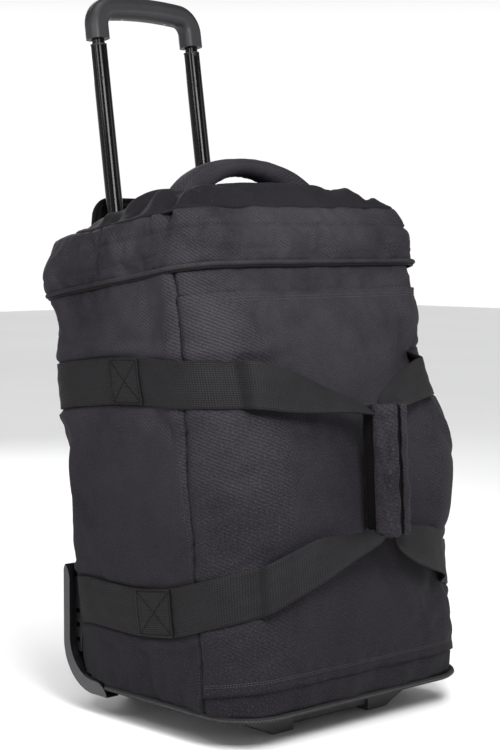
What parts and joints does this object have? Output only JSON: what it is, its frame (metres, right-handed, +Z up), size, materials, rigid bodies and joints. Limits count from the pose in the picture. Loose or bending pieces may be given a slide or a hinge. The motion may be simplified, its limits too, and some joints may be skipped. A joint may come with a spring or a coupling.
{
  "type": "rolling duffel bag",
  "caption": "Upright fabric rolling duffel with a telescopic trolley handle, recessed wheels, front stand, haul loops joined by a wrap and a padded top grab handle.",
  "frame": {"origin": "centre of the bounding box's footprint, on the floor", "axes": "+X to the bag's right as seen from its front, -Y out of the front with the haul handles, +Y towards the trolley, +Z up"},
  "size_m": [0.3683, 0.4292, 0.8009],
  "materials": {
    "body_fabric": "tightly woven coated polyester twill, charcoal",
    "piping": "woven tape over a cord",
    "binding_tape": "woven binding tape with zigzag stitching",
    "webbing": "ribbed polypropylene webbing",
    "hook_tape": "hook and loop tape",
    "zip_tape": "coil zip on woven tape",
    "zip_metal": "black painted zinc",
    "board": "polyethylene sheet",
    "base_plastic": "fine-textured moulded plastic, dark grey",
    "grip_plastic": "satin moulded plastic, dark grey",
    "button_plastic": "satin moulded plastic, black",
    "guide_plastic": "acetal, black",
    "tube_black": "gloss black lacquered aluminium",
    "outer_tube_metal": "plain drawn aluminium",
    "tyre": "matt black rubber",
    "wheel_hub": "moulded plastic",
    "steel": "zinc plated steel"
  },
  "bodies": {
    "bag": {"axle_left": "steel", "axle_right": "steel", "back_board": "board", "back_panel": "body_fabric", "base_binding": "binding_tape", "base_plate": "base_plastic", "base_screws": "steel", "bottom_panel": "body_fabric", "corner_guard_left": "base_plastic", "corner_guard_right": "base_plastic", "end_piping": "piping", "foot_bar": "base_plastic", "foot_left": "base_plastic", "foot_right": "base_plastic", "front_lower_strip": "body_fabric", "front_panel": "body_fabric", "front_upper_strip": "body_fabric", "grab_handle": "body_fabric", "grip_wrap": "body_fabric", "haul_loop_left": "webbing", "haul_loop_right": "webbing", "hood_binding": "piping", "outer_tube_left": "outer_tube_metal", "outer_tube_right": "outer_tube_metal", "rear_ledge": "body_fabric", "side_panel_left": "body_fabric", "side_panel_right": "body_fabric", "top_band": "body_fabric", "top_panel": "body_fabric", "trolley_bezel": "base_plastic", "trolley_hood": "body_fabric", "tube_bracket": "base_plastic", "wheel_housing_left": "base_plastic", "wheel_housing_right": "base_plastic", "wrap_closing_strip": "hook_tape", "zip_chain": "zip_tape"},
    "trolley_mid": {"mid_tube_left": "tube_black", "mid_tube_right": "tube_black", "mid_bushes": "guide_plastic", "mid_collars": "guide_plastic"},
    "trolley_inner": {"inner_tube_left": "tube_black", "inner_tube_right": "tube_black", "lock_plugs": "guide_plastic", "grip_lower_shell": "grip_plastic", "grip_upper_shell": "grip_plastic", "grip_screws": "steel", "button_spring": "steel"},
    "release": {"grip_button": "button_plastic", "release_yoke": "guide_plastic", "release_rods": "steel"},
    "pin_left": {"lock_pin_left": "steel"},
    "pin_right": {"lock_pin_right": "steel"},
    "wheel_left": {"tyre_left": "tyre", "wheel_hub_left": "wheel_hub", "wheel_bushes_left": "guide_plastic"},
    "wheel_right": {"tyre_right": "tyre", "wheel_hub_right": "wheel_hub", "wheel_bushes_right": "guide_plastic"},
    "slider": {"zip_slider": "zip_metal"},
    "puller": {"zip_puller": "zip_metal"}
  },
  "joints": [
    {"name": "trolley_mid_slide", "type": "slide", "parent": "bag", "child": "trolley_mid", "axis": [0, 0.153, 0.9882], "range_m": [-0.234, 0]},
    {"name": "trolley_inner_slide", "type": "slide", "parent": "trolley_mid", "child": "trolley_inner", "axis": [0, 0.153, 0.9882], "range_m": [0, 0.215]},
    {"name": "button_press", "type": "slide", "parent": "trolley_inner", "child": "release", "axis": [0, -0.153, -0.9882], "range_m": [0, 0.003], "stiffness_N_per_m": 400, "springref_m": -0.002, "deforming": ["button_spring"]},
    {"name": "pin_left_draw", "type": "slide", "parent": "trolley_inner", "child": "pin_left", "axis": [1, 0, 0], "range_m": [0, 0.002]},
    {"name": "pin_right_draw", "type": "slide", "parent": "trolley_inner", "child": "pin_right", "axis": [-1, 0, 0], "range_m": [0, 0.002]},
    {"name": "wheel_left_spin", "type": "hinge", "parent": "bag", "child": "wheel_left", "pos_m": [-0.092, 0.0983, 0.031], "axis": [1, 0, 0], "continuous": true},
    {"name": "wheel_right_spin", "type": "hinge", "parent": "bag", "child": "wheel_right", "pos_m": [0.092, 0.0983, 0.031], "axis": [1, 0, 0], "continuous": true},
    {"name": "zip_slide", "type": "slide", "parent": "bag", "child": "slider", "axis": [0, 0.153, 0.9882], "range_m": [0, 0.145]},
    {"name": "puller_swing", "type": "hinge", "parent": "slider", "child": "puller", "pos_m": [0.1842, -0.09087, 0.18671], "axis": [0, -0.9882, 0.153], "range_deg": [0, 165]}
  ],
  "couplings": [
    {"joint": "pin_left_draw", "follows": "button_press", "ratio": 0.6},
    {"joint": "pin_right_draw", "follows": "button_press", "ratio": 0.6}
  ]
}
